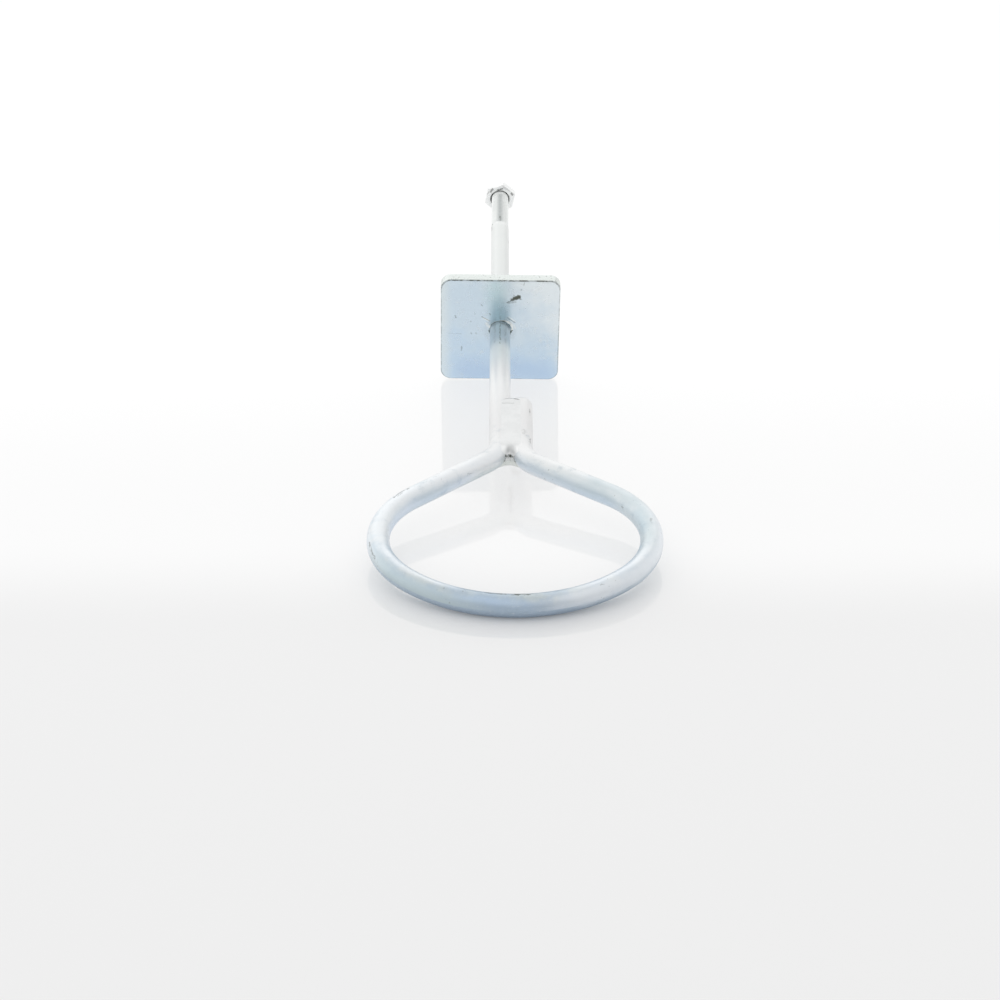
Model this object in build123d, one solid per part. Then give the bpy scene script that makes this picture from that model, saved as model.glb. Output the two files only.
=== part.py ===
from build123d import *
import os
from math import asin, atan2, cos, degrees, hypot, radians, sin, sqrt, tan

# Ring anchor bolt, in millimetres.
# The bar is drawn flat first: x across the ring, y along the shank, origin at the front of the
# ring's centreline, in line with the shank. Then everything is tilted to lie on the ground.

# Bar, ring and stub
bar_d = 9.0
ring_shift = 5.81           # centre of the ring, to the right of the shank
front_r = 58.5              # front of the ring, a flatter arc
front_half_angle = 47.0
side_r = 38.1               # both sides of the ring
arm_angle_left = 47.9       # each arm closes in towards the neck by this much
arm_angle_right = 52.9
neck_r_left = 17.0          # each arm turns back into line with the shank
neck_r_right = 13.7
stub_gap = 0.05
stub_end = 142.7            # distance from the front of the ring to the end of the stub

# Plate
plate_at = 205.9            # distance from the front of the ring to the plate's front face
plate_side = 52.0
plate_t = 5.0
plate_corner_r = 4.5
plate_edge_r = 0.5
plate_bend = 4.0            # the rod behind the plate leans up by this much from the shank
plate_turn = 0.8            # the plate is turned on the rod, its right side lower
hole_r = 4.3

# Rod and nut, with distances counted from the plate's front face
rod_d = 8.1
rod_seat_d = 8.5            # where the rod sits in the plate's hole
rod_root = 3.0              # how far the rod reaches into the thicker shank
thread_d = 7.78             # over the crests of the thread
thread_start = 84.5
rod_end = 118.0
rod_chamfer = 0.9
nut_at = 111.0
nut_t = 4.0
nut_across_flats = 13.0
nut_face_d = 12.0
nut_chamfer_angle = 30.0
nut_bore_r = 3.94
nut_countersink_r = 4.35
nut_turn = 18.0

# Welds
plate_weld_beads = 11
plate_weld_path_r = 4.95
plate_weld_bead_r = 2.25
neck_toe_inset = 1.2        # the weld's toes, from the centreline of shank and stub
neck_toe_height = 4.2
neck_crown_height = 4.9     # heights are above the bar's centreline
neck_floor_height = 1.3     # the weld fills the valley down to here
neck_weld_end = 141.5
neck_end_height = 3.4
neck_crater_back = 109.8    # a crater slopes from here down to the plug between the arms
plug_front = 104.7
plug_back = 108.6
plug_top = 0.5
plug_bottom = -3.4
bead_wobble = 0.14          # beads differ in size by this share

bar_r = bar_d / 2
stub_x = bar_d + stub_gap


def arm_run(offset, arm_angle, neck_r):
    """Straight length of an arm whose neck ends at this offset from the ring's centre."""
    b = radians(arm_angle)
    phi = radians(front_half_angle)
    reach = front_r * sin(phi) + side_r * (cos(b) - sin(phi))
    return (reach - neck_r * (1 - cos(b)) - offset) / sin(b)


def neck_end(offset, arm_angle, neck_r):
    """Distance from the front of the ring at which an arm is in line with the shank again."""
    b = radians(arm_angle)
    phi = radians(front_half_angle)
    side_end = front_r * (1 - cos(phi)) + side_r * (cos(phi) + sin(b))
    return side_end + arm_run(offset, arm_angle, neck_r) * cos(b) + neck_r * sin(b)


left_offset = ring_shift
right_offset = stub_x - ring_shift
left_run = arm_run(left_offset, arm_angle_left, neck_r_left)
right_run = arm_run(right_offset, arm_angle_right, neck_r_right)
left_neck_end = neck_end(left_offset, arm_angle_left, neck_r_left)
right_neck_end = neck_end(right_offset, arm_angle_right, neck_r_right)

# The bar lies on the ground at the front of the ring, and the plate on its lower front edge.
# rise is the tilt of the ring and shank that brings both down to the same level.
turn = radians(plate_turn)
bend = radians(plate_bend)
flat_half = plate_side / 2 - plate_corner_r
plate_drop = flat_half * (cos(turn) + sin(turn)) + plate_corner_r - plate_edge_r
along = plate_at + plate_edge_r * cos(bend) + plate_drop * sin(bend)
across = plate_drop * cos(bend) - plate_edge_r * sin(bend)
rise = degrees(atan2(across, along) - asin((bar_r - plate_edge_r) / hypot(along, across)))

lying = Location((0, 0, bar_r), (rise, 0, 0))
plate_place = Location((0, plate_at, 0), (plate_bend, 0, 0))
along_rod = Location((0, 0, 0), (-90, 0, 0))    # turns a shape's own +Z to point along the rod


def centreline():
    """Centreline of the bent bar from the end of the stub round the ring to the plate."""
    side_turn_left = 90 - front_half_angle + arm_angle_left
    side_turn_right = 90 - front_half_angle + arm_angle_right
    moves = [
        (stub_end - right_neck_end, 0),
        (neck_r_right, arm_angle_right),
        (right_run, 0),
        (side_r, -side_turn_right),
        (front_r, -2 * front_half_angle),
        (side_r, -side_turn_left),
        (left_run, 0),
        (neck_r_left, arm_angle_left),
        (plate_at + bar_r * sin(bend) - left_neck_end, 0),
    ]
    edges = []
    point = Vector(stub_x, stub_end)
    heading = -90.0
    for size, turned in moves:
        way = Vector(1, 0).rotate(Axis.Z, heading)
        if turned:
            edge = JernArc(point, way, size, turned)
            heading += turned
        else:
            edge = Line(point, point + way * size)
        edges.append(edge)
        point = edge @ 1
    return Wire(edges)


def turned(*outline):
    """A solid of revolution from points (radius, distance along its axis)."""
    return revolve(Plane.XZ * make_face(Polyline(*outline, close=True)), Axis.Z)


def make_ring_bar():
    path = centreline()
    start = Plane(origin=path @ 0, z_dir=path % 0)
    bent = sweep(start * Circle(bar_r), path=path)
    # The shank stops at the plate's front face, and the thinner rod goes on through the plate.
    beyond = plate_place * Pos(0, plate_t, 0) * Box(4 * bar_d, 2 * plate_t, 4 * bar_d)
    rod = turned(
        (0, -rod_root),
        (rod_seat_d / 2, -rod_root),
        (rod_seat_d / 2, plate_t),
        (rod_d / 2, plate_t),
        (rod_d / 2, thread_start),
        (thread_d / 2, thread_start),
        (thread_d / 2, rod_end - rod_chamfer),
        (thread_d / 2 - rod_chamfer, rod_end),
        (0, rod_end),
    )
    return (bent - beyond) + plate_place * along_rod * rod


def make_plate():
    outline = RectangleRounded(plate_side, plate_side, plate_corner_r) - Circle(hole_r)
    plate = extrude(outline, plate_t)
    faces = plate.faces().sort_by(Axis.Z)
    rims = [face.outer_wire().edges() for face in (faces[0], faces[-1])]
    plate = fillet(rims[0] + rims[1], plate_edge_r)
    return plate_place * along_rod * Rot(0, 0, plate_turn) * plate


def bead_size(number, radius):
    """Weld beads are laid by hand, so each differs a little from the next."""
    return radius * (1 + bead_wobble * sin(2.4 * number * number))


def make_plate_weld(bar):
    """A ring of overlapping beads round the shank, on the front face of the plate."""
    beads = Part()
    for number in range(plate_weld_beads):
        place = Rot(0, 0, 360 / plate_weld_beads * number) * Pos(plate_weld_path_r, 0, 0)
        beads += place * Sphere(bead_size(number, plate_weld_bead_r))
    behind = Box(4 * bar_d, 4 * bar_d, bar_d, align=(Align.CENTER, Align.CENTER, Align.MIN))
    return plate_place * along_rod * (beads - behind) - bar


def make_neck_weld(bar):
    """The weld that closes the eye: a flush fill over shank and stub, and a plug in the crotch."""
    across = Plane.XZ * make_face(
        Polyline(
            (stub_x - neck_toe_inset, neck_toe_height),
            (stub_x - neck_toe_inset, plug_bottom),
            (neck_toe_inset, plug_bottom),
            (neck_toe_inset, neck_toe_height),
        )
        + ThreePointArc(
            (neck_toe_inset, neck_toe_height),
            (stub_x / 2, neck_crown_height),
            (stub_x - neck_toe_inset, neck_toe_height),
        )
    )
    crater_mid = ((plug_front + neck_crater_back) / 2 + 0.6, neck_floor_height + 0.5)
    side = Plane.YZ * make_face(
        ThreePointArc((plug_front, plug_top), crater_mid, (neck_crater_back, neck_toe_height))
        + Line((neck_crater_back, neck_toe_height), (neck_crater_back + 2, neck_crown_height))
        + Polyline(
            (neck_crater_back + 2, neck_crown_height),
            (neck_weld_end - 2, neck_crown_height),
            (neck_weld_end, neck_end_height),
            (neck_weld_end, neck_floor_height),
            (plug_back, neck_floor_height),
            (plug_back, plug_bottom),
            (plug_front, plug_bottom),
            (plug_front, plug_top),
        )
    )
    fill = extrude(across, -neck_weld_end) & extrude(side, stub_x)
    return fill - bar


def make_nut():
    corner_r = nut_across_flats / sqrt(3)
    blank = extrude(RegularPolygon(corner_r, 6, rotation=-nut_turn), nut_t)
    blank -= Cylinder(nut_bore_r, 3 * nut_t)
    drop = (corner_r - nut_face_d / 2) * tan(radians(nut_chamfer_angle))
    blank &= turned(
        (0, 0),
        (nut_face_d / 2, 0),
        (corner_r, drop),
        (corner_r, nut_t - drop),
        (nut_face_d / 2, nut_t),
        (0, nut_t),
    )
    rims = blank.edges().filter_by(lambda e: e.geom_type == GeomType.CIRCLE)
    rims = rims.filter_by(lambda e: abs(e.radius - nut_bore_r) < 1e-6)
    blank = chamfer(rims, nut_countersink_r - nut_bore_r)
    return plate_place * along_rod * Pos(0, 0, nut_at) * blank


bar = make_ring_bar()
flat_parts = {
    "ring_bar": bar,
    "plate": make_plate(),
    "plate_weld": make_plate_weld(bar),
    "neck_weld": make_neck_weld(bar),
    "hex_nut": make_nut(),
}

# The origin is on the ground under the middle of the whole object.
lying_parts = {name: lying * shape for name, shape in flat_parts.items()}
box = Compound(list(lying_parts.values())).bounding_box()
centring = Pos(-(box.min.X + box.max.X) / 2, -(box.min.Y + box.max.Y) / 2, 0)

os.makedirs("parts", exist_ok=True)
for name, shape in lying_parts.items():
    export_step(centring * shape, f"parts/{name}.step")
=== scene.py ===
from math import asin, atan2, ceil, cos, degrees, hypot, pi, radians, sin, sqrt, tan

import bpy
from mathutils import Matrix, Vector, noise


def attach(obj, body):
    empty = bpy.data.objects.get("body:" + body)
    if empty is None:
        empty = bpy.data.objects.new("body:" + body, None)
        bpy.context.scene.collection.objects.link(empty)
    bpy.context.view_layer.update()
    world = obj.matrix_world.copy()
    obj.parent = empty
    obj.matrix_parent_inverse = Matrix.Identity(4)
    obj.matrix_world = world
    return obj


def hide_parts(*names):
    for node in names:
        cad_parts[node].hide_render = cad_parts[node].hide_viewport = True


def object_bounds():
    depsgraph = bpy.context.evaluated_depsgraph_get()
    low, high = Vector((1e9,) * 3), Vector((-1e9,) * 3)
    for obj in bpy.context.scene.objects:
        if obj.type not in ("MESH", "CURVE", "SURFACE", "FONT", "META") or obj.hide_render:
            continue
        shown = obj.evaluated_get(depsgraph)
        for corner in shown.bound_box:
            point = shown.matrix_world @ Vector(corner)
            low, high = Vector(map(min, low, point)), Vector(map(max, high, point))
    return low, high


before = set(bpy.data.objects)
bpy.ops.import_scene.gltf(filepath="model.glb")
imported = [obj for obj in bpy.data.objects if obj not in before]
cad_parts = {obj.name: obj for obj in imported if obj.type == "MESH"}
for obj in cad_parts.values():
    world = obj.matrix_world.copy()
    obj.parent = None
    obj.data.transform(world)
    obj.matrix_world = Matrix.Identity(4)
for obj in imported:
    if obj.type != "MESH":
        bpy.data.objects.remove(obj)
cad_low, cad_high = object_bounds()

# Sizes in millimetres. The bar is drawn flat first, as x across the ring, u along the shank from
# the front of the ring, and h up from the bar's centreline. Then it is tilted to lie on the floor.
MM = 0.001

bar_r = 4.5
ring_shift = 5.81
front_r = 58.5
front_half_angle = 47.0
side_r = 38.1
arm_angle_left = 47.9
arm_angle_right = 52.9
neck_r_left = 17.0
neck_r_right = 13.7
stub_x = 9.05
stub_end = 142.7

plate_at = 205.9
plate_side = 52.0
plate_t = 5.0
plate_corner_r = 4.5
plate_edge_r = 0.5
plate_bend = 4.0
plate_turn = 0.8
hole_r = 4.3

rod_r = 4.05
rod_seat_r = 4.25
thread_r = 3.89
thread_root_r = 3.42
thread_pitch = 1.25
thread_start = 84.5
rod_end = 118.0
rod_chamfer = 0.9

nut_at = 111.0
nut_t = 4.0
nut_across_flats = 13.0
nut_face_r = 6.0
nut_chamfer_angle = 30.0
nut_bore_r = 3.94
nut_countersink_r = 4.75
nut_turn = 18.0

around = 72                 # points round the bar
along_step = 1.0            # spacing of its rings

uv_run = 100.0              # mm along a piece for one unit of UV
neck_face_side = 10.0       # mm that the UVs of these faces span
nut_face_side = 20.0


def tilt():
    """Angle at which the ring and shank lie, with the ring's front and the plate on the floor."""
    turn = radians(plate_turn)
    bend = radians(plate_bend)
    flat_half = plate_side / 2 - plate_corner_r
    drop = flat_half * (cos(turn) + sin(turn)) + plate_corner_r - plate_edge_r
    along = plate_at + plate_edge_r * cos(bend) + drop * sin(bend)
    across = drop * cos(bend) - plate_edge_r * sin(bend)
    return atan2(across, along) - asin((bar_r - plate_edge_r) / hypot(along, across))


# FLAT takes flat drawing millimetres to the frame, and ROD takes x, w along the rod from the
# plate's front face, and v up the plate.
ring_front = Vector((-ring_shift * MM, cad_low.y + bar_r * MM, cad_low.z + bar_r * MM))
FLAT = Matrix.Translation(ring_front) @ Matrix.Rotation(tilt(), 4, "X") @ Matrix.Scale(MM, 4)
ROD = FLAT @ Matrix.Translation((0, plate_at, 0)) @ Matrix.Rotation(radians(plate_bend), 4, "X")


def arm_run(offset, arm_angle, neck_r):
    b = radians(arm_angle)
    phi = radians(front_half_angle)
    reach = front_r * sin(phi) + side_r * (cos(b) - sin(phi))
    return (reach - neck_r * (1 - cos(b)) - offset) / sin(b)


def neck_end(offset, arm_angle, neck_r):
    b = radians(arm_angle)
    phi = radians(front_half_angle)
    side_end = front_r * (1 - cos(phi)) + side_r * (cos(phi) + sin(b))
    return side_end + arm_run(offset, arm_angle, neck_r) * cos(b) + neck_r * sin(b)


def centreline():
    """Points and headings along the bar, from the end of the stub round the ring to the plate."""
    left = ring_shift
    right = stub_x - ring_shift
    moves = [
        (stub_end - neck_end(right, arm_angle_right, neck_r_right), 0),
        (neck_r_right, arm_angle_right),
        (arm_run(right, arm_angle_right, neck_r_right), 0),
        (side_r, -(90 - front_half_angle + arm_angle_right)),
        (front_r, -2 * front_half_angle),
        (side_r, -(90 - front_half_angle + arm_angle_left)),
        (arm_run(left, arm_angle_left, neck_r_left), 0),
        (neck_r_left, arm_angle_left),
        (plate_at - 1.0 - neck_end(left, arm_angle_left, neck_r_left), 0),
    ]
    point = Vector((stub_x, stub_end, 0))
    heading = radians(-90)
    travelled = 0.0
    found = [(point.copy(), heading, travelled)]
    for size, turned in moves:
        angle = radians(turned)
        length = abs(angle) * size if turned else size
        count = ceil(length / along_step)
        for k in range(count):
            step = length / count
            if turned:
                heading += angle / count / 2
                point = point + Vector((cos(heading), sin(heading), 0)) * (
                    2 * size * sin(abs(angle) / count / 2)
                )
                heading += angle / count / 2
            else:
                point = point + Vector((cos(heading), sin(heading), 0)) * step
            travelled += step
            found.append((point.copy(), heading, travelled))
    return found


def add_uvs(piece, name, uvs):
    """uvs holds one pair for each corner of each face, in order."""
    layer = piece.data.uv_layers.new(name=name)
    for loop, uv in zip(layer.data, uvs):
        loop.uv = uv


def new_object(name, vertices, faces, uvs=None, uv_name="surface"):
    mesh = bpy.data.meshes.new(name)
    mesh.from_pydata(vertices, [], faces)
    mesh.validate()
    mesh.update()
    piece = bpy.data.objects.new(name, mesh)
    bpy.context.collection.objects.link(piece)
    if uvs:
        add_uvs(piece, uv_name, uvs)
    return piece


def smooth(piece, sharp_angle=35):
    for polygon in piece.data.polygons:
        polygon.use_smooth = True
    piece.data.set_sharp_from_angle(angle=radians(sharp_angle))


def loft(rings, closed=False, capped=True):
    """Vertices and faces of a skin over rings that have the same number of points."""
    count = len(rings[0])
    vertices = [point for ring in rings for point in ring]
    faces = []
    last = len(rings) if closed else len(rings) - 1
    for i in range(last):
        a = i * count
        b = (i + 1) % len(rings) * count
        for j in range(count):
            k = (j + 1) % count
            faces.append((a + j, a + k, b + k, b + j))
    if capped and not closed:
        faces.append(tuple(reversed(range(count))))
        faces.append(tuple(range((len(rings) - 1) * count, len(rings) * count)))
    return vertices, faces


def corner_uvs(faces, count, uv_rings, turn=0.0):
    """UVs for each face corner; where a skin closes on itself, v goes on by one turn."""
    flat = [uv for ring in uv_rings for uv in ring]
    uvs = []
    for face in faces:
        seam = turn and len(face) == 4 and max(i % count for i in face) == count - 1
        for i in face:
            u, v = flat[i]
            uvs.append((u, v + turn if seam and i % count == 0 else v))
    return uvs


def waviness(point, size, strength):
    return strength * noise.noise(Vector(point) / size)


def thread_height(phase):
    """Share of the thread's depth at this share of a turn, with a rolled crest and root."""
    wave = cos(2 * pi * phase)
    return 0.5 + 0.5 * wave / sqrt(0.35 + 0.65 * wave * wave)


def make_bar():
    rings = []
    uvs = []

    def add(place, centre, side, up, radius, distance):
        ring = []
        uv = []
        for j in range(around):
            angle = 2 * pi * j / around
            r = radius(angle) if callable(radius) else radius
            out = side * cos(angle) + up * sin(angle)
            ring.append(place @ (centre + out * r))
            uv.append((distance / uv_run, j / around))
        rings.append(ring)
        uvs.append(uv)

    up = Vector((0, 0, 1))
    path = centreline()
    total = path[-1][2]
    for centre, heading, travelled in path:
        side = Vector((-sin(heading), cos(heading), 0))
        ahead = Vector((cos(heading), sin(heading), 0))
        if travelled == 0:
            add(FLAT, centre, side, up, 0.02, -3)
            add(FLAT, centre, side, up, 2.4, -2)
            add(FLAT, centre, side, up, bar_r - 0.55, -0.5)
            add(FLAT, centre + ahead * 0.16, side, up, bar_r - 0.16, -0.3)
            add(FLAT, centre + ahead * 0.55, side, up, bar_r, 0)
            continue

        def radius(angle):
            where = centre + (side * cos(angle) + up * sin(angle)) * bar_r
            return bar_r - 0.02 + waviness(where, 9.0, 0.02)

        add(FLAT, centre, side, up, radius, travelled)
    side = Vector((-1, 0, 0))
    add(ROD, Vector((0, 0, 0)), side, up, bar_r - 0.01, total + 1)
    stretches = [(0.0, rod_seat_r), (plate_t, rod_seat_r), (plate_t, rod_r)]
    w = plate_t
    while w < thread_start - 3:
        w += 2.0
        stretches.append((w, rod_r))
    stretches.append((thread_start - 0.4, rod_r))
    for w, r in stretches:
        add(ROD, Vector((0, w, 0)), side, up, r, total + 1 + w)
    # The thread runs in over its first turn and is cut off by the chamfer at the end.
    step = thread_pitch / 14
    count = int((rod_end - thread_start) / step)
    depth = thread_r - thread_root_r
    for k in range(count + 1):
        w = thread_start + (rod_end - thread_start) * k / count
        run_in = min(1.0, (w - thread_start) / (1.2 * thread_pitch))
        limit = thread_r - max(0.0, w - (rod_end - rod_chamfer))

        def radius(angle):
            share = thread_height(w / thread_pitch - angle / (2 * pi))
            return min(limit, thread_r - depth * run_in * (1 - share))

        add(ROD, Vector((0, w, 0)), side, up, radius, total + 1 + w)
    add(ROD, Vector((0, rod_end, 0)), side, up, 2.0, total + rod_end + 2)
    add(ROD, Vector((0, rod_end, 0)), side, up, 0.02, total + rod_end + 3)
    vertices, faces = loft(rings)
    piece = new_object("bent_bar", vertices, faces, corner_uvs(faces, around, uvs, 1.0))
    smooth(piece)
    return piece


def rounded_square(half, corner_r, per_corner=12, per_side=28):
    """Points round a square with rounded corners."""
    points = []
    flat = half - corner_r
    for quarter in range(4):
        turn = Matrix.Rotation(quarter * pi / 2, 2)
        for k in range(per_corner):
            angle = pi / 2 * k / per_corner
            points.append(turn @ Vector((flat + corner_r * cos(angle), flat + corner_r * sin(angle))))
        for k in range(per_side):
            points.append(turn @ Vector((flat - 2 * flat * k / per_side, half)))
    return points


def make_plate():
    half = plate_side / 2
    outline = rounded_square(half, plate_corner_r)
    turn = Matrix.Rotation(-radians(plate_turn), 2)
    rings = []
    faces_uv = []
    edges_uv = []

    def add(inset, w, share=1.0):
        """share 0 is the hole and 1 the outline, moved in by inset."""
        ring = []
        face_uv = []
        for point in outline:
            corner = Vector(point)
            flat = turn @ (corner.normalized() * hole_r).lerp(corner * (1 - inset / half), share)
            wave = abs(waviness((flat.x, flat.y, w), 14.0, 0.035)) if 0.02 < share < 0.98 else 0
            ring.append(ROD @ Vector((flat.x, w + wave * (1 if w < 1 else -1), flat.y)))
            face_uv.append((flat.x / plate_side + 0.5, flat.y / plate_side + 0.5))
        rings.append(ring)
        faces_uv.append(face_uv)
        edge = (share - 1) * half if w == 0 else w
        edges_uv.append([(edge / 10, 0.5)] * len(outline))

    shares = [0, 0.04, 0.1, 0.2, 0.3, 0.4, 0.5, 0.6, 0.7, 0.8, 0.9, 0.96, 1]
    for share in shares:
        add(plate_edge_r, 0.0, share)
    for k in range(1, 5):
        angle = pi / 2 * k / 4
        add(plate_edge_r * (1 - sin(angle)), plate_edge_r * (1 - cos(angle)))
    for k in range(1, 4):
        add(0.0, plate_edge_r + (plate_t - 2 * plate_edge_r) * k / 4)
    for k in range(0, 5):
        angle = pi / 2 * k / 4
        add(plate_edge_r * (1 - cos(angle)), plate_t - plate_edge_r * (1 - sin(angle)))
    for share in reversed(shares[:-1]):
        add(plate_edge_r, plate_t, share)
    add(plate_edge_r, plate_t / 2, 0)
    vertices, faces = loft(rings, closed=True)
    count = len(outline)
    piece = new_object("square_plate", vertices, faces, corner_uvs(faces, count, faces_uv), "face")
    add_uvs(piece, "edge", corner_uvs(faces, count, edges_uv))
    smooth(piece, 50)
    return piece


def make_plate_weld():
    """A low hand-laid bead round the shank on the front of the plate, widest at the upper right."""
    count = 200
    across = 18
    rings = []
    uvs = []
    faces_uv = []
    for i in range(count):
        angle = 2 * pi * i / count
        out = Vector((cos(angle), 0, sin(angle)))
        lump = noise.noise(out * 1.9 + Vector((3, 1, 7)))
        upper = 0.5 + 0.5 * sin(angle)
        wide = max(0.0, cos(angle - radians(38))) ** 4
        ripple = 0.06 * sin(angle * 22 + 2 * sin(angle * 3)) * upper
        toe = 5.2 + 0.3 * lump + 1.2 * wide + ripple
        crown = 0.2 + 0.12 * lump + 0.35 * wide + ripple
        inner = 4.48 + 0.16 * max(0.0, sin(angle))
        ring = [out * 4.2 + Vector((0, 0.2, 0)), out * toe + Vector((0, 0.2, 0))]
        uv = [(0.0, i / count), (0.0, i / count)]
        for k in range(across + 1):
            t = k / across
            r = toe + (inner - toe) * t
            rough = waviness((out.x * r, 0, out.z * r), 0.7, 0.09) * sin(pi * t)
            w = 0.06 - crown * sin(pi * min(1.0, t * 1.02) ** 1.3) ** 0.9 - rough
            ring.append(out * r + Vector((0, w, 0)))
            uv.append((t, i / count))
        ring.append(out * 4.3 + Vector((0, -0.05, 0)))
        uv.append((1.0, i / count))
        rings.append([ROD @ point for point in ring])
        uvs.append(uv)
        faces_uv.append([(p.x / plate_side + 0.5, p.z / plate_side + 0.5) for p in ring])
    vertices, faces = loft(rings, closed=True)
    piece = new_object("shank_weld", vertices, faces, corner_uvs(faces, len(rings[0]), uvs))
    add_uvs(piece, "face", corner_uvs(faces, len(rings[0]), faces_uv))
    smooth(piece, 60)
    return piece


neck_lid_end = 143.3        # the flush fill runs from the crotch to here
neck_crown = 4.56
neck_toe = 0.4
plug_sink = 0.6             # how far the plug reaches into the arms


def arm_centres(u):
    """Where the centrelines of the two arms are across the shank, at this distance along it."""
    def swing(end, neck_r, arm_angle):
        run = end - u
        b = radians(arm_angle)
        if run <= 0:
            return 0.0
        if run < neck_r * sin(b):
            return neck_r - sqrt(neck_r * neck_r - run * run)
        return neck_r * (1 - cos(b)) + (run - neck_r * sin(b)) * tan(b)

    left = neck_end(ring_shift, arm_angle_left, neck_r_left)
    right = neck_end(stub_x - ring_shift, arm_angle_right, neck_r_right)
    return (
        -swing(left, neck_r_left, arm_angle_left),
        stub_x + swing(right, neck_r_right, arm_angle_right),
    )


def make_neck_weld():
    """The flush weld over shank and stub, ending in a crater over a rough plug in the crotch."""
    columns = 72
    # The middle of the plug's face and crater, from underneath to the lid: along, height, roughness
    face = [
        (105.0, -3.6, 0.0),
        (103.6, -4.1, 0.03),
        (102.8, -3.9, 0.06),
        (102.3, -3.2, 0.10),
        (102.1, -2.3, 0.14),
        (102.1, -1.4, 0.20),
        (102.4, -0.6, 0.30),
        (103.1, -0.1, 0.36),
        (103.3, 0.5, 0.26),
        (103.5, 1.2, 0.12),
        (103.9, 2.0, 0.05),
        (104.3, 2.8, 0.03),
        (104.7, 3.5, 0.02),
        (105.2, 4.05, 0.02),
        (105.9, 4.4, 0.02),
        (106.8, 4.53, 0.02),
    ]

    def point_on(rows, t):
        k = min(int(t), len(rows) - 2)
        share = t - k
        return [a + (b - a) * share for a, b in zip(rows[k], rows[k + 1])]

    profile = [point_on(face, k / 5) for k in range(5 * (len(face) - 1) + 1)]
    flat_run = neck_lid_end - 2.6 - face[-1][0]
    profile += [(face[-1][0] + flat_run * k / 90, neck_crown, 0.03) for k in range(1, 91)]
    for k in range(1, 9):
        angle = pi / 2 * k / 8
        profile.append((neck_lid_end - 2.6 + 2.6 * sin(angle), 2.2 + 2.36 * cos(angle), 0.05))
    rings = []
    uvs = []
    runs = []
    for i in range(columns + 1):
        share = 2 * i / columns - 1
        ring = []
        uv = []
        run = []
        for u, h, rough in profile:
            dish = max(0.0, min(1.0, (3.9 - h) / 1.4)) * max(0.0, min(1.0, (h + 0.2) / 1.4))
            h += 1.2 * dish * share * share
            lid = max(0.0, min(1.0, (h - 3.4) / 1.0))
            spread = 3.4 * share * share * (1 - lid)
            end_arc = 1.6 * share * share * max(0.0, (u - 139) / 4.3)
            left, right = arm_centres(u - spread)
            middle = (left + right) / 2
            inner = sqrt(max(0.0, bar_r * bar_r - h * h))
            half = max(0.6, (right - left) / 2 - max(neck_toe, inner - plug_sink))
            x = middle + share * half
            top = h - 0.12 * lid * share * share
            bump = rough * noise.noise(Vector((x, u * 1.3, h)) / 0.55)
            along = u - spread - end_arc - bump
            ring.append(FLAT @ Vector((x, along, top + bump * 0.6)))
            uv.append(((x - stub_x / 2) / neck_face_side + 0.5, h / neck_face_side + 0.5))
            run.append((u / uv_run, 0.5))
        for u, h in ((neck_lid_end - 0.5, 0.8), (108.0, 0.8), (107.0, -3.0)):
            ring.append(FLAT @ Vector((stub_x / 2 + share * 1.2, u, h)))
            uv.append((0.5, h / neck_face_side + 0.5))
            run.append((u / uv_run, 0.5))
        rings.append(ring)
        uvs.append(uv)
        runs.append(run)
    vertices, faces = loft(rings)
    piece = new_object("eye_weld", vertices, faces, corner_uvs(faces, len(rings[0]), uvs))
    add_uvs(piece, "run", corner_uvs(faces, len(rings[0]), runs))
    smooth(piece, 60)
    return piece


def make_nut():
    count = 144
    slope = tan(radians(nut_chamfer_angle))

    def hexagon(angle):
        turned = (degrees(angle) - nut_turn + 30) % 60 - 30
        return nut_across_flats / 2 / cos(radians(30 - abs(turned)))

    rings = []
    faces_uv = []

    def ring_of(radius, depth):
        ring = []
        uv = []
        for j in range(count):
            angle = radians(nut_turn) + 2 * pi * j / count
            r = radius(angle) if callable(radius) else radius
            w = depth(r, angle) if callable(depth) else depth
            ring.append(ROD @ Vector((r * cos(angle), nut_at + w, r * sin(angle))))
            uv.append((r * cos(angle) / nut_face_side + 0.5, r * sin(angle) / nut_face_side + 0.5))
        rings.append(ring)
        faces_uv.append(uv)

    def groove(w):
        def radius(angle):
            share = thread_height((nut_at + w) / thread_pitch + angle / (2 * pi) + 0.5)
            return nut_bore_r + 0.3 * (1 - share)

        return radius

    def chamfer(r, angle):
        return max(0.06, (r - nut_face_r) * slope)

    chamfer_w = nut_countersink_r - nut_bore_r
    for r in (nut_countersink_r, 5.2, nut_face_r - 0.12):
        ring_of(r, 0.0)
    ring_of(nut_face_r + 0.1, 0.05)
    ring_of(lambda a: hexagon(a) - 0.12, chamfer)
    ring_of(hexagon, lambda r, a: (r + 0.05 - nut_face_r) * slope + 0.08)
    ring_of(hexagon, nut_t / 2)
    ring_of(hexagon, lambda r, a: nut_t - (r + 0.05 - nut_face_r) * slope - 0.08)
    ring_of(lambda a: hexagon(a) - 0.12, lambda r, a: nut_t - chamfer(r, a))
    ring_of(nut_face_r + 0.1, nut_t - 0.05)
    for r in (nut_face_r - 0.12, 5.2, nut_countersink_r):
        ring_of(r, nut_t)
    outside = len(rings)
    steps = 44
    for k in range(steps + 1):
        w = nut_t - chamfer_w - (nut_t - 2 * chamfer_w) * k / steps
        ring_of(groove(w), w)
    front_rows = 6
    bore_uvs = []
    for row in range(len(rings)):
        bore_uvs.append([(0.0 if row < outside else 1.0, 1.0 if row < front_rows else 0.0)] * count)
    vertices, faces = loft(rings, closed=True)
    piece = new_object("thin_nut", vertices, faces, corner_uvs(faces, count, bore_uvs), "bore")
    add_uvs(piece, "face", corner_uvs(faces, count, faces_uv))
    smooth(piece, 25)
    return piece


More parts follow.
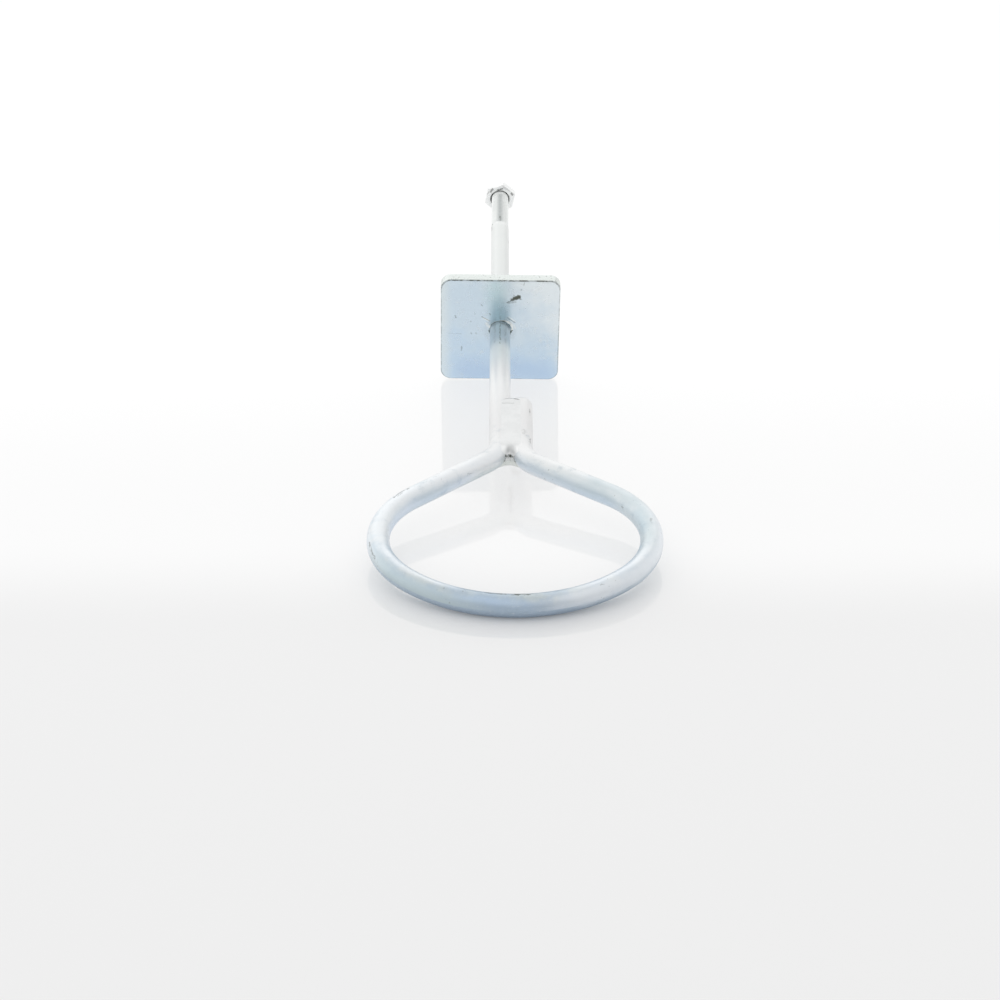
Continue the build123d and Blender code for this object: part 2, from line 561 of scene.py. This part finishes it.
class Nodes:
    """A small helper to write node trees in few lines."""

    def __init__(self, tree):
        self.tree = tree
        tree.nodes.clear()

    def add(self, kind, **settings):
        node = self.tree.nodes.new(kind)
        inputs = settings.pop("inputs", {})
        for key, value in settings.items():
            setattr(node, key, value)
        for key, value in inputs.items():
            socket = node.inputs[key]
            if isinstance(value, bpy.types.NodeSocket):
                self.tree.links.new(value, socket)
            else:
                socket.default_value = value
        return node

    def scaled(self, vector, scale):
        node = self.add("ShaderNodeMapping", inputs={"Vector": vector})
        node.inputs["Scale"].default_value = scale
        return node.outputs[0]

    def noise(self, vector, scale, detail=3.0, rough=0.55):
        node = self.add(
            "ShaderNodeTexNoise",
            inputs={"Vector": vector, "Scale": scale, "Detail": detail, "Roughness": rough},
        )
        return node.outputs["Fac"]

    def curve(self, fac, low, high, to_low, to_high, smooth_step=True):
        node = self.add(
            "ShaderNodeMapRange",
            interpolation_type="SMOOTHSTEP" if smooth_step else "LINEAR",
            inputs={0: fac, 1: low, 2: high, 3: to_low, 4: to_high},
        )
        return node.outputs[0]

    def mix(self, fac, a, b):
        a, b = [(*c, 1) if isinstance(c, tuple) and len(c) == 3 else c for c in (a, b)]
        node = self.add("ShaderNodeMix", data_type="RGBA", inputs={0: fac, 6: a, 7: b})
        return node.outputs[2]

    def maths(self, operation, a, b=0.0):
        node = self.add("ShaderNodeMath", operation=operation, inputs={0: a, 1: b})
        return node.outputs[0]

    def vector(self, operation, a, b=(0, 0, 0)):
        return self.add("ShaderNodeVectorMath", operation=operation, inputs={0: a, 1: b})

    def split(self, vector):
        return self.add("ShaderNodeSeparateXYZ", inputs={"Vector": vector}).outputs

    def stroke(self, place, start, end, width, core):
        """1 on a line from start to end and 0 away from it, in the units of place."""
        start = Vector((*start, 0))
        run = Vector((*end, 0)) - start
        from_start = self.vector("SUBTRACT", place, tuple(start)).outputs[0]
        dot = self.vector("DOT_PRODUCT", from_start, tuple(run / run.length_squared))
        share = self.curve(dot.outputs["Value"], 0, 1, 0, 1, False)
        nearest = self.vector("MULTIPLY", tuple(run), share)
        away = self.vector("DISTANCE", from_start, nearest.outputs[0]).outputs["Value"]
        return self.curve(away, width * core, width, 1, 0)

    def strokes(self, place, listed, core, wobble, grain, detail):
        """Strokes (start, end, width, strength) whose edges are shaken by a noise."""
        shake = self.add(
            "ShaderNodeTexNoise", inputs={"Vector": place, "Scale": grain, "Detail": detail}
        ).outputs["Color"]
        moved = self.vector("SUBTRACT", shake, (0.5, 0.5, 0.5)).outputs[0]
        moved = self.vector("MULTIPLY", moved, (wobble, wobble, 0)).outputs[0]
        ragged = self.vector("ADD", place, moved).outputs[0]
        total = 0.0
        for start, end, width, strength in listed:
            mask = self.stroke(ragged, start, end, width, core)
            total = self.maths("MAXIMUM", self.maths("MULTIPLY", mask, strength), total)
        return total

    def marks(self, place, listed, wobble, grain=1.6):
        """Listed strokes with ragged edges."""
        return self.strokes(place, listed, 0.45, wobble, grain, 4.0)

    def patches(self, place, listed, wobble, grain, squeeze=1.0):
        """Soft listed patches, drawn out along x by squeeze."""
        place = self.scaled(place, (squeeze, 1, 1))
        listed = [((a * squeeze, b), (c * squeeze, d), *rest) for (a, b), (c, d), *rest in listed]
        return self.strokes(place, listed, 0.0, wobble, grain, 3.0)

    def uv(self, name):
        return self.add("ShaderNodeUVMap", uv_map=name).outputs[0]

    def face_mm(self, name, size):
        """Millimetres from the middle of a face whose UVs span this size."""
        middle = (size / 2, size / 2, 0)
        return self.vector("SUBTRACT", self.scaled(self.uv(name), (size, size, 1)), middle).outputs[0]

    def metal(self, colour, rough, height, strength, metallic=1.0):
        bump = self.add(
            "ShaderNodeBump", inputs={"Strength": strength, "Distance": 0.00006, "Height": height}
        )
        shader = self.add(
            "ShaderNodeBsdfPrincipled",
            inputs={
                "Base Color": colour,
                "Metallic": metallic,
                "Roughness": rough,
                "Normal": bump.outputs[0],
            },
        )
        self.add("ShaderNodeOutputMaterial", inputs={"Surface": shader.outputs[0]})


def new_material(name):
    material = bpy.data.materials.new(name)
    material.use_nodes = True
    n = Nodes(material.node_tree)
    return material, n, n.add("ShaderNodeTexCoord").outputs["Object"]


# Dark colour for marks and specks; on the bar it also paints lines of reflection of the plate.
dirt_and_painted_reflection = (0.13, 0.14, 0.125)


def zinc_bar_material():
    """Blue-white zinc: blue at the front of the ring, nearly white on shank and rod.
    Its colours also carry painted light, and painted reflections of the plate and on the thread.
    """
    material, n, place = new_material("bar_zinc")
    # Colours (y, flank, top) from the front of the ring to the rod. Where the top is paler than the
    # flank, on the ring, that is painted light from above. The crotch (y -0.068) and the thread (y 0.133)
    # are lightened to lift their shade, and the shank just before the plate (y 0.034 to 0.0465) is darker
    # blue, a painted reflection of the plate.
    tints_and_painted_light = [
        (-0.165, (0.41, 0.50, 0.60), (0.51, 0.57, 0.59)),
        (-0.120, (0.56, 0.65, 0.71), (0.72, 0.75, 0.76)),
        (-0.085, (0.69, 0.75, 0.78), (0.80, 0.83, 0.85)),
        (-0.068, (0.88, 0.885, 0.885), (0.85, 0.86, 0.86)),
        (-0.035, (0.77, 0.775, 0.775), (0.78, 0.78, 0.78)),
        (0.004, (0.84, 0.85, 0.85), (0.86, 0.87, 0.87)),
        (0.023, (0.87, 0.91, 0.91), (0.89, 0.93, 0.93)),
        (0.034, (0.56, 0.66, 0.72), (0.58, 0.68, 0.74)),
        (0.0465, (0.55, 0.64, 0.69), (0.58, 0.68, 0.73)),
        (0.0495, (0.75, 0.77, 0.76), (0.76, 0.78, 0.77)),
        (0.125, (0.78, 0.80, 0.79), (0.77, 0.79, 0.78)),
        (0.133, (0.96, 0.98, 0.97), (0.90, 0.92, 0.91)),
    ]
    surface = n.uv("surface")
    y = n.split(place)["Y"]
    around_bar = n.split(surface)["Y"]
    upward = n.maths("SINE", n.maths("MULTIPLY", around_bar, 2 * pi))
    clouds = n.noise(place, 75, 3, 0.6)
    patches = n.noise(place, 230, 5, 0.68)
    # share takes the top colour where the surface faces up: on the ring this is painted light from above.
    share = n.curve(n.maths("ADD", upward, n.curve(clouds, 0.3, 0.7, -0.4, 0.4)), 0.4, 1.15, 0, 1)
    colour = n.mix(share, tints_and_painted_light[0][1], tints_and_painted_light[0][2])
    for (before, _, _), (after, flank, top) in zip(tints_and_painted_light, tints_and_painted_light[1:]):
        colour = n.mix(n.curve(y, before, after, 0, 1), colour, n.mix(share, flank, top))
    # Lighter and darker blotches, drawn out along the bar, on its blue part.
    blotched = n.curve(y, -0.05, -0.03, 1, 0.12)
    drawn = n.noise(n.scaled(surface, (30, 12, 1)), 2.5, 5, 0.7)
    pale = n.maths("MULTIPLY", n.curve(drawn, 0.55, 0.75, 0, 0.5), blotched)
    colour = n.mix(pale, colour, (0.86, 0.88, 0.87))
    deep = n.maths("MULTIPLY", n.curve(patches, 0.25, 0.48, 0.38, 0), blotched)
    colour = n.mix(deep, colour, (0.36, 0.44, 0.50))
    # Patches, then marks, in mm: distance along from the stub's end, and distance round the bar
    # from its outside over the top.
    mm = n.scaled(surface, (uv_run, 2 * pi * bar_r, 1))
    pale_patches = [
        ((118, 2.2), (168, 3.0), 8.0, 0.8),
        ((140, 30.0), (166, 30.4), 5.0, 0.6),
        ((130, 7.5), (165, 7.5), 4.0, 0.7),
        ((258, 1.0), (294, 1.0), 5.0, 0.8),
        ((262, 13.0), (294, 13.5), 5.0, 0.8),
        ((264, 7.0), (296, 8.0), 6.0, 0.45),
        ((296, 9.0), (336, 9.5), 4.5, 0.45),
        ((332, 9.5), (346, 10.5), 5.0, 0.7),
        ((96, 1.0), (132, 1.5), 5.5, 0.9),
        ((224, 8.8), (258, 8.2), 3.0, 0.7),
    ]
    blue_patches = [
        ((280, 14.2), (326, 14.8), 4.5, 0.4),
        ((48, 14.0), (84, 15.0), 5.0, 0.45),
        ((196, 3.6), (210, 4.2), 3.6, 0.4),
    ]
    grey_patches = [
        ((52, 12.5), (84, 11.5), 6.0, 0.45),
        ((84, 8.0), (122, 8.5), 6.0, 0.5),
        ((222, 1.0), (250, 1.5), 6.0, 0.85),
        ((334, 16.4), (348, 16.0), 3.5, 0.7),
    ]
    colour = n.mix(n.patches(mm, pale_patches, 4.0, 0.3, 0.3), colour, (0.86, 0.89, 0.92))
    colour = n.mix(n.patches(mm, blue_patches, 4.0, 0.3, 0.3), colour, (0.52, 0.66, 0.85))
    colour = n.mix(n.patches(mm, grey_patches, 4.0, 0.3, 0.3), colour, (0.53, 0.62, 0.65))
    # Painted reflection: a grey line along the top of the thread.
    painted_thread_reflection = n.patches(mm, [((538, 7.1), (560, 7.1), 2.6, 0.75)], 0.4, 1.0)
    colour = n.mix(painted_thread_reflection, colour, (0.50, 0.53, 0.53))
    strokes = [
        ((295.5, 5.9), (303, 5.4), 1.1, 0.6),
        ((330.0, 12.4), (331.6, 12.7), 0.8, 0.45),
        ((257, 2.2), (266, 2.8), 0.7, 0.55),
        ((190.5, 8.2), (197, 8.3), 1.1, 0.9),
        ((197, 8.5), (207, 8.6), 0.9, 0.65),
        ((112.0, 6.5), (115.5, 7.0), 0.7, 0.3),
        ((7.5, 3.5), (12, 3.0), 0.5, 0.6),
        ((26, 6.6), (29.5, 5.9), 1.2, 0.2),
        ((31, 3.1), (33.5, 3.0), 0.8, 1.0),
        # These three lines along the top of the shank just before the plate are a painted reflection of
        # the plate; the other strokes are marks.
        ((433, 7.1), (451, 7.1), 0.4, 0.6),
        ((435, 9.6), (451, 9.6), 0.8, 0.2),
        ((435, 4.6), (451, 4.6), 0.8, 0.2),
        ((533, 1.5), (538, 1.5), 1.0, 0.7),
        ((522.4, 13.0), (523.6, 13.0), 0.8, 0.8),
        ((537.5, 7.1), (541, 7.1), 0.6, 0.8),
    ]
    breaks = n.curve(n.noise(n.scaled(mm, (0.4, 1, 1)), 0.9, 4, 0.7), 0.42, 0.55, 0, 1)
    marks = n.maths("MULTIPLY", n.marks(mm, strokes, 1.2), breaks)
    spots = n.curve(n.noise(place, 700, 2, 0.5), 0.67, 0.75, 0, 1)
    where = n.curve(n.noise(place, 55, 2, 0.5), 0.46, 0.6, 0, 0.4)
    where = n.maths("MULTIPLY", where, n.curve(y, -0.07, -0.03, 1.0, 0.0))
    dark = n.maths("MAXIMUM", marks, n.maths("MULTIPLY", spots, where))
    colour = n.mix(dark, colour, dirt_and_painted_reflection)
    lines = n.noise(n.scaled(surface, (14, 60, 1)), 3.0, 4, 0.65)
    shine = n.curve(y, -0.05, 0.0, 0.38, 0.30)
    relief = n.curve(y, -0.06, -0.02, 1.0, 0.04)
    uneven = n.maths("MULTIPLY", n.curve(patches, 0.3, 0.7, 0.07, -0.06, False), relief)
    rough = n.maths("ADD", shine, uneven)
    height = n.maths("ADD", n.maths("MULTIPLY", n.noise(place, 1500, 3, 0.6), 0.5), lines)
    strength = n.maths("MULTIPLY", relief, 0.5)
    n.metal(colour, rough, height, strength, n.curve(y, -0.09, -0.05, 1.0, 0.55))
    return material


def zinc_plate_material():
    """The plate: bluer low down, paler at the upper right, with scratches and creamy edges.
    Round the weld it has painted highlights and painted shade, and above it a painted reflection of the
    shank.
    """
    material, n, place = new_material("plate_zinc")
    mm = n.face_mm("face", plate_side)
    edge = n.split(n.uv("edge"))["X"]
    x, v, _ = n.split(mm)
    front = n.curve(edge, 0.2, 0.3, 1, 0)
    clouds = n.noise(place, 70, 3, 0.6)
    patches = n.noise(place, 230, 4, 0.62)
    cloudy = n.curve(clouds, 0.3, 0.7, -11, 11, False)
    low = n.curve(n.maths("ADD", v, cloudy), -24, 2, 1, 0)
    warm = n.curve(n.maths("ADD", n.maths("ADD", x, v), cloudy), 5, 42, 0, 1)
    colour = n.mix(low, (0.63, 0.74, 0.83), (0.57, 0.71, 0.85))
    colour = n.mix(warm, colour, (0.80, 0.86, 0.89))
    colour = n.mix(n.curve(patches, 0.56, 0.78, 0, 0.35), colour, (0.84, 0.86, 0.84))
    colour = n.mix(n.curve(x, -25.5, -20, 0.5, 0), colour, (0.80, 0.85, 0.83))
    blue_patches = [((-14, -21), (-6, -22), 10.0, 0.5), ((8, -20), (19, -22), 10.0, 0.5)]
    colour = n.mix(n.patches(mm, blue_patches, 7.0, 0.15), colour, (0.46, 0.60, 0.81))
    # Painted reflection of the shank, a blue-green band up the front face above it.
    shank_reflection_patches = [((-2, 22), (-0.5, 8), 7.5, 0.6)]
    painted_shank_reflection = n.maths("MULTIPLY", n.patches(mm, shank_reflection_patches, 3.0, 0.15), front)
    colour = n.mix(painted_shank_reflection, colour, (0.60, 0.77, 0.81))
    # Painted highlights just outside the weld bead, on the front face.
    ridge_highlights = [
        ((-7.2, 6.5), (-5.0, 5.2), 0.6, 0.5),
        ((-5.8, 3.6), (-5.2, 2.4), 0.9, 0.5),
        ((2.6, 6.2), (5.2, 4.2), 0.5, 0.4),
        ((5.2, 4.2), (6.8, 1.2), 0.5, 0.4),
        ((3.8, 7.2), (6.6, 4.8), 0.4, 0.5),
    ]
    painted_ridge_highlight = n.maths("MULTIPLY", n.marks(mm, ridge_highlights, 0.9), front)
    colour = n.mix(painted_ridge_highlight, colour, (0.91, 0.94, 0.92))
    strokes = [
        ((6.3, 16.6), (8.2, 17.5), 1.25, 1.0),
        ((5.2, 15.9), (6.4, 16.6), 1.0, 0.9),
        ((3.2, 14.6), (5.2, 15.7), 0.5, 0.6),
        ((3.4, 14.1), (6.9, 15.0), 0.45, 0.3),
        ((9.0, 20.9), (9.3, 21.3), 0.4, 0.35),
        ((10.2, 23.4), (10.6, 24.8), 0.35, 0.25),
        ((-19.5, 7.8), (-19.3, 6.8), 0.45, 0.5),
        ((-8.0, 13.4), (-7.7, 13.0), 0.4, 0.4),
        ((-4.5, 8.8), (-4.2, 8.3), 0.45, 0.35),
        ((-12.8, -1.4), (-12.5, -1.7), 0.45, 0.4),
        ((-16.8, -8.4), (-17.1, -10.4), 0.4, 0.35),
        ((-22.4, -1.4), (-17.0, -1.8), 0.3, 0.15),
        ((-10.6, -1.2), (-10.2, -2.0), 0.4, 0.2),
        ((-7.8, 7.2), (-4.4, 4.9), 0.35, 0.35),
        ((3.2, 6.8), (6.4, 4.2), 0.35, 0.45),
        ((7.8, 17.0), (9.3, 16.2), 0.35, 0.7),
        ((6.4, 17.4), (6.0, 18.4), 0.3, 0.5),
    ]
    marks = n.maths("MULTIPLY", n.marks(mm, strokes, 1.5), front)
    back_strokes = [
        ((-17, 12), (-12, 13.5), 0.5, 0.3),
        ((9, -8), (10.5, -10.5), 0.6, 0.45),
        ((11.5, -7.5), (12, -8.2), 0.5, 0.4),
    ]
    back = n.maths("MULTIPLY", n.marks(mm, back_strokes, 1.5), n.maths("SUBTRACT", 1.0, front))
    marks = n.maths("MAXIMUM", marks, back)
    spots = n.curve(n.noise(place, 800, 2, 0.5), 0.74, 0.80, 0, 0.5)
    # The cut edge is creamier, with a dark broken line where it meets each face.
    cream = n.curve(edge, 0.02, 0.05, 0, 1)
    cream = n.maths("MULTIPLY", cream, n.curve(edge, 0.46, 0.49, 1, 0))
    colour = n.mix(cream, colour, (0.71, 0.75, 0.73))
    speckle = n.noise(place, 900, 3, 0.7)
    colour = n.mix(n.maths("MULTIPLY", cream, n.curve(speckle, 0.57, 0.70, 0, 0.5)), colour, dirt_and_painted_reflection)
    rim = n.maths("MULTIPLY", n.curve(edge, -0.004, 0.002, 0, 1), n.curve(edge, 0.03, 0.055, 1, 0))
    line = n.maths("MULTIPLY", rim, n.curve(n.noise(place, 330, 4, 0.75), 0.40, 0.58, 0.3, 0.9))
    line = n.maths("MULTIPLY", line, n.curve(v, 20, 25.5, 0.45, 1.0))
    dark = n.maths("MAXIMUM", n.maths("MAXIMUM", marks, spots), line)
    # Painted shade on the face in the corner round the weld.
    round_rod = n.vector("LENGTH", mm).outputs["Value"]
    corner_shade = n.maths("MULTIPLY", n.curve(round_rod, 5.8, 8.5, 0.12, 0), n.curve(patches, 0.3, 0.7, 0.3, 1))
    dark = n.maths("MAXIMUM", dark, n.maths("MULTIPLY", corner_shade, n.curve(edge, -0.01, 0.0, 1, 0)))
    colour = n.mix(dark, colour, (0.11, 0.12, 0.10))
    rough = n.curve(patches, 0.3, 0.7, 0.20, 0.30, False)
    height = n.maths("ADD", n.noise(place, 1500, 3, 0.6), n.maths("MULTIPLY", clouds, 2.0))
    n.metal(colour, rough, height, 0.15)
    return material


def plate_weld_material():
    """Plated weld metal. The dark crease beside the top half of the shank is painted shade, with a softer
    painted dark reflection over the bead above it, and painted highlights on raised lines of the bead.
    """
    material, n, place = new_material("plate_weld_zinc")
    clouds = n.noise(place, 180, 4, 0.65)
    colour = n.mix(n.curve(clouds, 0.35, 0.65, 0, 1), (0.50, 0.60, 0.64), (0.62, 0.71, 0.75))
    mm = n.face_mm("face", plate_side)
    # Painted highlights on raised lines of the bead.
    ridge_highlights = [
        ((2.4, 5.6), (4.8, 3.6), 0.5, 0.5),
        ((4.8, 3.6), (6.0, 0.8), 0.6, 0.6),
        ((4.6, 0.9), (4.7, 0.4), 0.7, 0.9),
        ((-5.8, 3.6), (-4.6, 2.0), 0.8, 0.8),
        ((5.5, 0.2), (4.9, -2.0), 0.9, 0.8),
    ]
    colour = n.mix(n.marks(mm, ridge_highlights, 0.8), colour, (0.95, 0.95, 0.92))
    across, turned, _ = n.split(n.uv("surface"))
    # Painted shade in the crease beside the upper half of the shank, and a softer painted dark reflection
    # on the bead above it.
    crease = n.curve(across, 0.58, 0.84, 0, 0.94)
    upper = n.maths("MULTIPLY", n.curve(turned, 0.05, 0.09, 0, 1), n.curve(turned, 0.41, 0.45, 1, 0))
    dark = n.maths("MULTIPLY", crease, upper)
    over = n.maths("MULTIPLY", n.curve(turned, 0.15, 0.20, 0, 1), n.curve(turned, 0.38, 0.43, 1, 0))
    painted_dark_reflection = n.curve(across, 0.0, 0.6, 0.3, 0.94)
    dark = n.maths("MAXIMUM", dark, n.maths("MULTIPLY", painted_dark_reflection, over))
    slashes = [((5.3, -0.1), (4.5, -1.8), 0.7, 0.95), ((-4.7, 0.0), (-4.6, -0.4), 0.6, 0.7)]
    dark = n.maths("MAXIMUM", dark, n.marks(mm, slashes, 0.7))
    grain = n.noise(place, 1100, 3, 0.6)
    colour = n.mix(dark, colour, (0.09, 0.11, 0.10))
    n.metal(colour, n.curve(clouds, 0.3, 0.7, 0.26, 0.40, False), grain, 0.4)
    return material


def neck_weld_material():
    """Plated weld metal, with dark pits across the plug and scratches at its far end.
    It has painted highlights beside and across the plug, and painted shade in the crater and along the
    dark arc.
    """
    material, n, place = new_material("neck_weld_zinc")
    mm = n.face_mm("surface", neck_face_side)
    x, height, _ = n.split(mm)
    run = n.maths("MULTIPLY", n.split(n.uv("run"))["X"], uv_run)
    front = n.curve(run, 107, 108, 1, 0)
    clouds = n.noise(place, 180, 4, 0.65)
    colour = n.mix(n.curve(clouds, 0.35, 0.65, 0, 1), (0.76, 0.77, 0.77), (0.82, 0.83, 0.83))
    low = n.curve(height, -1.6, -0.4, 0.5, 0)
    colour = n.mix(low, colour, (0.72, 0.77, 0.72))
    # Painted highlights on the arms' edges either side of the plug.
    lip_highlights = n.curve(n.maths("ABSOLUTE", x), 0.8, 3.0, 0, 1)
    lip_highlights = n.maths("MULTIPLY", lip_highlights, n.curve(height, 0.6, 1.6, 0, 0.9))
    lip_highlights = n.maths("MULTIPLY", lip_highlights, n.curve(height, 3.9, 4.5, 1, 0))
    colour = n.mix(n.maths("MULTIPLY", lip_highlights, front), colour, (0.97, 0.98, 0.98))
    # Painted light: a white band across the plug's face, lifting its shade.
    painted_light_band = n.maths("MULTIPLY", n.curve(height, 0.9, 1.1, 0, 0.8), n.curve(height, 1.4, 2.2, 1, 0))
    colour = n.mix(n.maths("MULTIPLY", painted_light_band, front), colour, (1.0, 1.0, 1.0))
    # Painted shade in the hollow of the crater.
    crater_shade_patches = [((-0.9, 2.8), (0.7, 2.7), 2.2, 0.42)]
    crater = n.patches(mm, crater_shade_patches, 1.2, 1.0)
    colour = n.mix(n.maths("MULTIPLY", crater, front), colour, (0.40, 0.41, 0.41))
    pits = n.noise(place, 1100, 3, 0.6)
    # Dark arc across the plug: pits, with painted shade along it for a groove the shape does not have.
    pit_and_groove_shade_marks = [
        ((-3.5, -0.6), (-2.9, 0.8), 1.3, 1.0),
        ((-2.7, 0.6), (-1.0, 0.6), 0.5, 0.75),
        ((-0.9, 0.55), (-0.5, 0.5), 0.85, 1.0),
        ((-0.4, 0.6), (1.4, 0.5), 0.5, 0.75),
        ((1.9, 0.5), (2.6, -0.7), 1.3, 1.0),
        ((3.2, 0.2), (3.8, -1.1), 0.9, 0.8),
    ]
    dark = n.marks(mm, pit_and_groove_shade_marks, 1.1, 2.2)
    dark = n.maths("MULTIPLY", n.maths("MULTIPLY", dark, front), n.curve(pits, 0.44, 0.60, 1, 0.3))
    colour = n.mix(dark, colour, (0.07, 0.08, 0.06))
    plan = n.add("ShaderNodeCombineXYZ", inputs={"X": x, "Y": run}).outputs[0]
    end_marks = [
        ((-2.6, 141.4), (1.6, 141.7), 0.5, 0.45),
        ((1.9, 141.6), (3.1, 141.6), 1.1, 1.0),
        ((-3.4, 137.6), (1.0, 137.4), 0.5, 0.25),
    ]
    colour = n.mix(n.marks(plan, end_marks, 0.8), colour, dirt_and_painted_reflection)
    n.metal(colour, n.curve(clouds, 0.3, 0.7, 0.32, 0.46, False), pits, 0.3, 0.55)
    return material


def nut_material():
    """Pale zinc on the nut, with dark marks on its front and painted shade in its bore."""
    material, n, place = new_material("nut_zinc")
    clouds = n.noise(place, 320, 4, 0.6)
    colour = n.mix(n.curve(clouds, 0.35, 0.7, 0, 1), (0.93, 0.94, 0.94), (0.98, 0.99, 0.98))
    mm = n.face_mm("face", nut_face_side)
    strokes = [
        ((-1.3, 4.8), (1.2, 5.7), 0.5, 0.75),
        ((-4.4, 3.9), (-3.5, 5.2), 0.6, 0.7),
        ((-6.2, 2.4), (-5.2, 3.8), 0.4, 0.35),
        ((5.3, 3.1), (5.9, 2.3), 0.6, 0.75),
        ((1.6, 6.4), (4.6, 4.2), 0.35, 0.3),
    ]
    bore, near, _ = n.split(n.uv("bore"))
    marks = n.maths("MULTIPLY", n.marks(mm, strokes, 1.0), n.curve(near, 0.5, 0.95, 0, 1))
    colour = n.mix(marks, colour, (0.16, 0.16, 0.15))
    # Painted shade inside the bore.
    colour = n.mix(n.curve(bore, 0.4, 0.6, 0, 0.9), colour, (0.10, 0.10, 0.10))
    rough = n.curve(clouds, 0.3, 0.7, 0.24, 0.36, False)
    n.metal(colour, rough, n.noise(place, 1600, 3, 0.6), 0.25, 0.35)
    return material


def floor_material():
    """Glossy white sheet that fades to the white background behind the object."""
    material, n, place = new_material("white_sheet")
    y = n.split(place)["Y"]
    matt = n.add("ShaderNodeBsdfDiffuse", inputs={"Color": (0.86, 0.86, 0.86, 1)})
    white = n.add("ShaderNodeEmission", inputs={"Color": (1, 1, 1, 1), "Strength": 1.0})
    gloss = n.add("ShaderNodeBsdfGlossy", inputs={"Color": (1, 1, 1, 1), "Roughness": 0.05})
    light_path = n.add("ShaderNodeLightPath").outputs
    seen = n.maths("MAXIMUM", light_path["Is Camera Ray"], light_path["Is Glossy Ray"])
    near = n.curve(y, -0.168, -0.10, 0.07, 0.62)
    far = n.curve(y, -0.07, 0.16, 0.0, 0.38)
    fac = n.maths("MULTIPLY", seen, n.maths("ADD", near, far))
    sheet = n.add("ShaderNodeMixShader", inputs={0: fac, 1: matt.outputs[0], 2: white.outputs[0]})
    sheen = n.add("ShaderNodeFresnel", inputs={"IOR": 1.6}).outputs[0]
    mixed = n.add("ShaderNodeMixShader", inputs={0: sheen, 1: sheet.outputs[0], 2: gloss.outputs[0]})
    n.add("ShaderNodeOutputMaterial", inputs={"Surface": mixed.outputs[0]})
    return material


def make_floor():
    size = 6.0
    corners = [(-size, -size, 0), (size, -size, 0), (size, size, 0), (-size, size, 0)]
    floor = new_object("floor", corners, [(0, 1, 2, 3)])
    floor.location.z = cad_low.z
    floor.data.materials.append(floor_material())


def make_world():
    """White behind the object and at its sides, a little dimmer overhead and dim in front."""
    world = bpy.data.worlds.new("studio")
    bpy.context.scene.world = world
    world.use_nodes = True
    n = Nodes(world.node_tree)
    way = n.add("ShaderNodeTexCoord").outputs["Generated"]
    x, y, z = n.add("ShaderNodeSeparateXYZ", inputs={"Vector": way}).outputs
    depth = n.curve(y, -1.0, 0.55, 0.74, 1.08)
    above = n.curve(z, 0.3, 0.75, 0.0, 0.85)
    level = n.add("ShaderNodeMix", data_type="FLOAT", inputs={0: above, 2: depth, 3: 0.95})
    side = n.curve(x, -1.0, 1.0, 1.10, 0.88, False)
    strength = n.maths("MULTIPLY", level.outputs[0], side)
    lit = n.add("ShaderNodeBackground", inputs={"Color": (1, 1, 1, 1), "Strength": strength})
    white = n.add("ShaderNodeBackground", inputs={"Color": (1, 1, 1, 1), "Strength": 1.0})
    seen = n.add("ShaderNodeLightPath").outputs["Is Camera Ray"]
    mixed = n.add("ShaderNodeMixShader", inputs={0: seen, 1: lit.outputs[0], 2: white.outputs[0]})
    n.add("ShaderNodeOutputWorld", inputs={"Surface": mixed.outputs[0]})


def area_light(name, place, target, size, power):
    lamp = bpy.data.lights.new(name, "AREA")
    lamp.shape = "RECTANGLE"
    lamp.size, lamp.size_y = size
    lamp.energy = power
    lamp_object = bpy.data.objects.new(name, lamp)
    bpy.context.collection.objects.link(lamp_object)
    lamp_object.location = place
    way = Vector(target) - Vector(place)
    lamp_object.rotation_euler = way.to_track_quat("-Z", "Y").to_euler()


def make_lights():
    area_light("back", (-0.15, 1.3, 1.1), (0, 0.0, 0), (2.2, 1.2), 1.6)


# The camera looks at the ring from in front and above, in line with the shank.
camera_back = 854.4
camera_height = 495.9
camera_pitch = 27.61
focal_pixels = 2637.0
image_pixels = 1000.0
sensor_mm = 36.0


def make_camera():
    camera = bpy.data.cameras.new("camera")
    camera.sensor_width = sensor_mm
    camera.lens = focal_pixels / image_pixels * sensor_mm
    camera.clip_start = 0.05
    camera.clip_end = 50
    camera_object = bpy.data.objects.new("camera", camera)
    bpy.context.collection.objects.link(camera_object)
    x = -ring_shift * MM
    y = cad_low.y + (bar_r - camera_back) * MM
    camera_object.location = (x, y, cad_low.z + camera_height * MM)
    camera_object.rotation_euler = (radians(90 - camera_pitch), 0, 0)
    bpy.context.scene.camera = camera_object


def dress(piece, material, body, node):
    piece.data.materials.clear()
    piece.data.materials.append(material)
    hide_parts(node)
    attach(piece, body)


bar_zinc = zinc_bar_material()
plate_zinc = zinc_plate_material()
plate_weld_metal = plate_weld_material()
neck_weld_metal = neck_weld_material()
nut_zinc = nut_material()

dress(make_bar(), bar_zinc, "bolt", "ring_bar")
dress(make_plate(), plate_zinc, "bolt", "plate")
dress(make_plate_weld(), plate_weld_metal, "bolt", "plate_weld")
dress(make_neck_weld(), neck_weld_metal, "bolt", "neck_weld")
dress(make_nut(), nut_zinc, "nut", "hex_nut")
make_floor()
make_world()
make_lights()
make_camera()
bpy.context.scene.view_settings.view_transform = "Standard"
